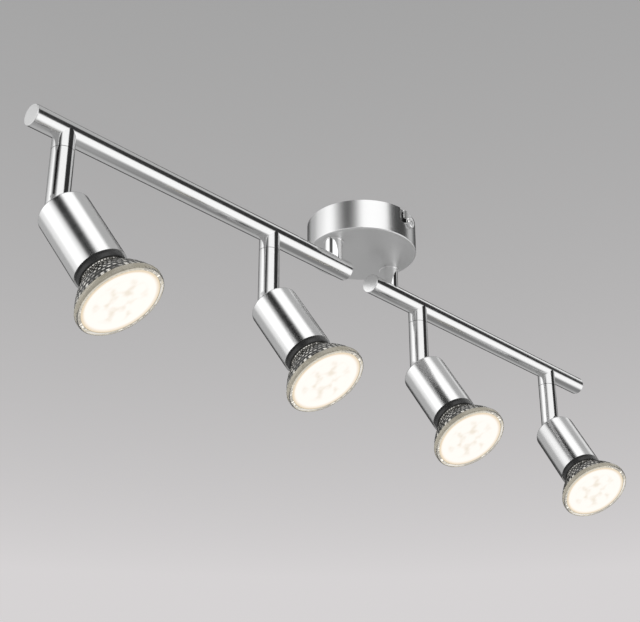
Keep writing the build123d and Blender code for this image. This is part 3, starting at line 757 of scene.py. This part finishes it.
def addStudio():
    world = bpy.data.worlds.new("studio")
    world.use_nodes = True
    tree = world.node_tree
    look = addNode(tree, "ShaderNodeTexCoord")
    path = addNode(tree, "ShaderNodeLightPath")
    maskGroup = panelMaskGroup()
    tone = addNode(tree, "ShaderNodeRGB")
    tone.outputs[0].default_value = stageSet["airTone"]
    output = 0
    for panel in studioPanels:
        centre = pointing(panel["heading"], panel["rise"])
        level = Vector((-centre.y, centre.x, 0)).normalized()
        turn = Matrix.Rotation(math.radians(panel["roll"]), 3, -centre)
        halfWide, halfTall = math.radians(panel["wide"] / 2), math.radians(panel["tall"] / 2)
        mask = addNode(tree, "ShaderNodeGroup", node_tree=maskGroup)
        mask.inputs["Centre"].default_value = centre
        mask.inputs["Across"].default_value = turn @ level / math.tan(halfWide)
        mask.inputs["Upward"].default_value = turn @ centre.cross(level) / math.tan(halfTall)
        mask.inputs["Soft"].default_value = panel["soft"]
        mix = addNode(tree, "ShaderNodeMix", data_type="RGBA")
        mix.inputs[7].default_value = panel["tone"]
        chain(tree, (look, "Generated", mask, "Vector"), (mask, "Mask", mix, "Factor"),
              (tone, output, mix, 6))
        tone, output = mix, 2
    seen = addNode(tree, "ShaderNodeMix", data_type="RGBA")
    seen.inputs[7].default_value = stageSet["backdropTone"]
    chain(tree, (path, "Is Camera Ray", seen, "Factor"), (tone, output, seen, 6),
          (seen, 2, tree.nodes["Background"], "Color"))
    scene.world = world


def paint(name, tone):
    # plain paint that shows from its front only
    material = bpy.data.materials.new(name)
    material.use_nodes = True
    tree = material.node_tree
    shader = tree.nodes["Principled BSDF"]
    shader.inputs["Base Color"].default_value = tone
    shader.inputs["Roughness"].default_value = stageSet["paintRough"]
    shader.inputs["Specular IOR Level"].default_value = 0.0
    side = addNode(tree, "ShaderNodeNewGeometry")
    clear = addNode(tree, "ShaderNodeBsdfTransparent")
    mix = addNode(tree, "ShaderNodeMixShader")
    chain(tree, (side, "Backfacing", mix, 0), (shader, 0, mix, 1), (clear, 0, mix, 2),
          (mix, 0, tree.nodes["Material Output"], "Surface"))
    return material, tree, shader


def ceilingPaint():
    # pale tone with painted shade that darkens it towards one spot, shown to the camera and through the
    # glass
    material, tree, shader = paint("ceilingPaint", stageSet["ceilingTone"])
    path = addNode(tree, "ShaderNodeLightPath")
    spot = addNode(tree, "ShaderNodeTexCoord")
    away = addNode(tree, "ShaderNodeVectorMath", operation="DISTANCE")
    away.inputs[1].default_value = stageSet["shadeSpot"]
    fade = addNode(tree, "ShaderNodeMapRange",
                   {"From Min": stageSet["nearEdge"], "From Max": stageSet["farEdge"]})
    tone = addNode(tree, "ShaderNodeMix", data_type="RGBA")
    tone.inputs[6].default_value = stageSet["ceilingShadeTone"]
    tone.inputs[7].default_value = stageSet["ceilingFar"]
    shown = math2(tree, "MAXIMUM", (path, "Is Camera Ray"), (path, "Is Transmission Ray"))
    chain(tree, (spot, "Object", away, 0), (away, "Value", fade, "Value"),
          (fade, 0, tone, "Factor"), (tone, 2, shader, "Emission Color"),
          (shown, 0, shader, "Emission Strength"))
    return material


def addPanel(name, size, height, faceUp, material):
    half = size / 2
    corners = [(-half, -half, height), (half, -half, height), (half, half, height), (-half, half, height)]
    mesh = bpy.data.meshes.new(name)
    mesh.from_pydata(corners if faceUp else corners[::-1], [], [(0, 1, 2, 3)])
    mesh.materials.append(material)
    panel = bpy.data.objects.new(name, mesh)
    scene.collection.objects.link(panel)
    return panel


def addRoom():
    ceiling = addPanel("ceiling", stageSet["ceilingSize"], stageSet["ceilingGap"], False, ceilingPaint())
    floor = addPanel("floor", stageSet["floorSize"], -stageSet["floorDrop"], True,
                     paint("floorPaint", stageSet["floorTone"])[0])
    for plane in (ceiling, floor):
        plane.visible_glossy = False
        plane.visible_diffuse = False
        plane.visible_shadow = False


def addKeyLight():
    data = bpy.data.lights.new("softKey", "AREA")
    data.shape = "RECTANGLE"
    data.size, data.size_y = keyLight["wide"], keyLight["tall"]
    data.energy = keyLight["glow"] * math.pi * keyLight["wide"] * keyLight["tall"]
    lamp = bpy.data.objects.new("softKey", data)
    scene.collection.objects.link(lamp)
    aim = pointing(keyLight["heading"], keyLight["rise"])
    lamp.location = (cadBox[0] + cadBox[1]) / 2 + aim * keyLight["away"]
    lamp.rotation_mode = "QUATERNION"
    lamp.rotation_quaternion = (-aim).to_track_quat("-Z", "Y")
    lamp.visible_camera = False
    lamp.visible_glossy = False


addStudio()
addRoom()
addKeyLight()
print("studio set")
